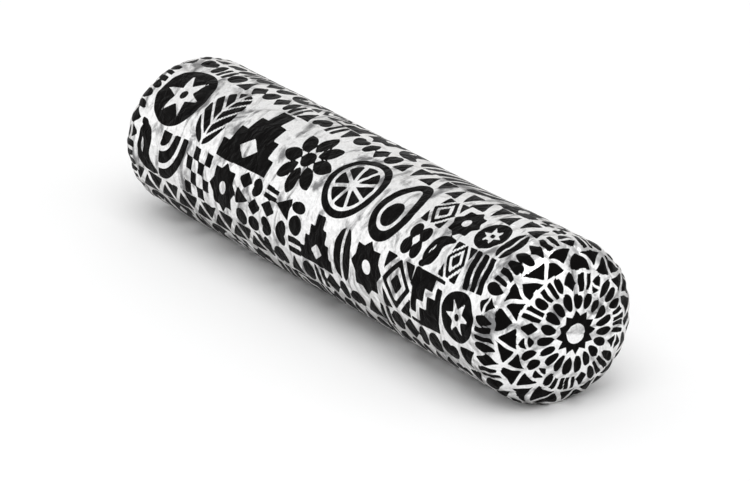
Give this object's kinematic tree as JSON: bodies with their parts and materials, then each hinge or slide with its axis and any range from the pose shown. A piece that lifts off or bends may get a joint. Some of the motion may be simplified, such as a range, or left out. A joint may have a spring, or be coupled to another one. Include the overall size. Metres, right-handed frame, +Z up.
{
  "type": "wrapped burrito",
  "caption": "Long round burrito rolled tight in printed aluminium foil, with domed, pleated ends and a flat resting strip along the underside.",
  "frame": {"origin": "centre of the bounding box in X and Y, on the surface the burrito lies on", "axes": "+X along the roll, towards the end that faces the camera in the picture; +Z up; +Y to the side away from the camera"},
  "size_m": [0.2062, 0.0502, 0.0465],
  "materials": {
    "foil_wrap": "satin rolled aluminium foil, softly crumpled, with a near-black printed pattern"
  },
  "bodies": {
    "root": {"wrapped_burrito": "foil_wrap"}
  },
  "joints": []
}
